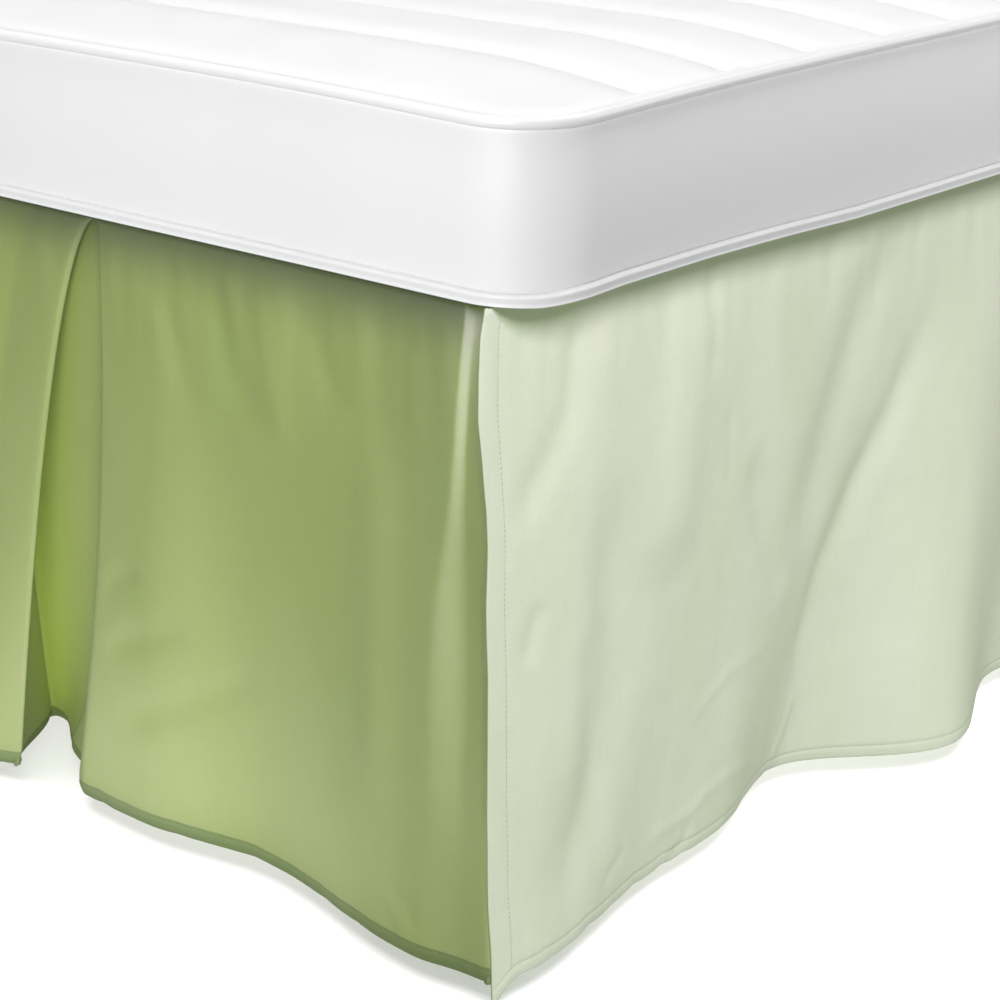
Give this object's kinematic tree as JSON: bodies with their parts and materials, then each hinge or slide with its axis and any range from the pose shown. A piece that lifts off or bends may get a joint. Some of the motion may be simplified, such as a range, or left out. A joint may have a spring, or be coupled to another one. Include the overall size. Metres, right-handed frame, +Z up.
{
  "type": "bed skirt with mattress and bed base",
  "caption": "Pleated green cloth bed skirt with split corners, hanging in soft folds from its deck between a plain bed base and a quilted white mattress.",
  "frame": {"origin": "on the floor, under the middle of the whole bed's box", "axes": "+Z up, -Y towards the foot end of the bed, +X towards the bed's right side as seen from its foot"},
  "size_m": [0.7, 1.4105, 0.5246],
  "materials": {
    "skirt_cloth": "plain woven cotton blend, matt, a little sheer, pale green",
    "mattress_ticking": "smooth white mattress cover, quilted on top",
    "welt_cloth": "smooth white piping",
    "base_wood": "plain pale pine, satin"
  },
  "bodies": {
    "root": {"foot_drop": "skirt_cloth", "side_drop_right": "skirt_cloth", "side_drop_left": "skirt_cloth", "deck": "skirt_cloth", "mattress": "mattress_ticking", "top_welt": "welt_cloth", "bottom_welt": "welt_cloth", "base_frame": "base_wood", "leg_foot_right": "base_wood", "leg_foot_left": "base_wood", "leg_head_right": "base_wood", "leg_head_left": "base_wood"}
  },
  "joints": []
}
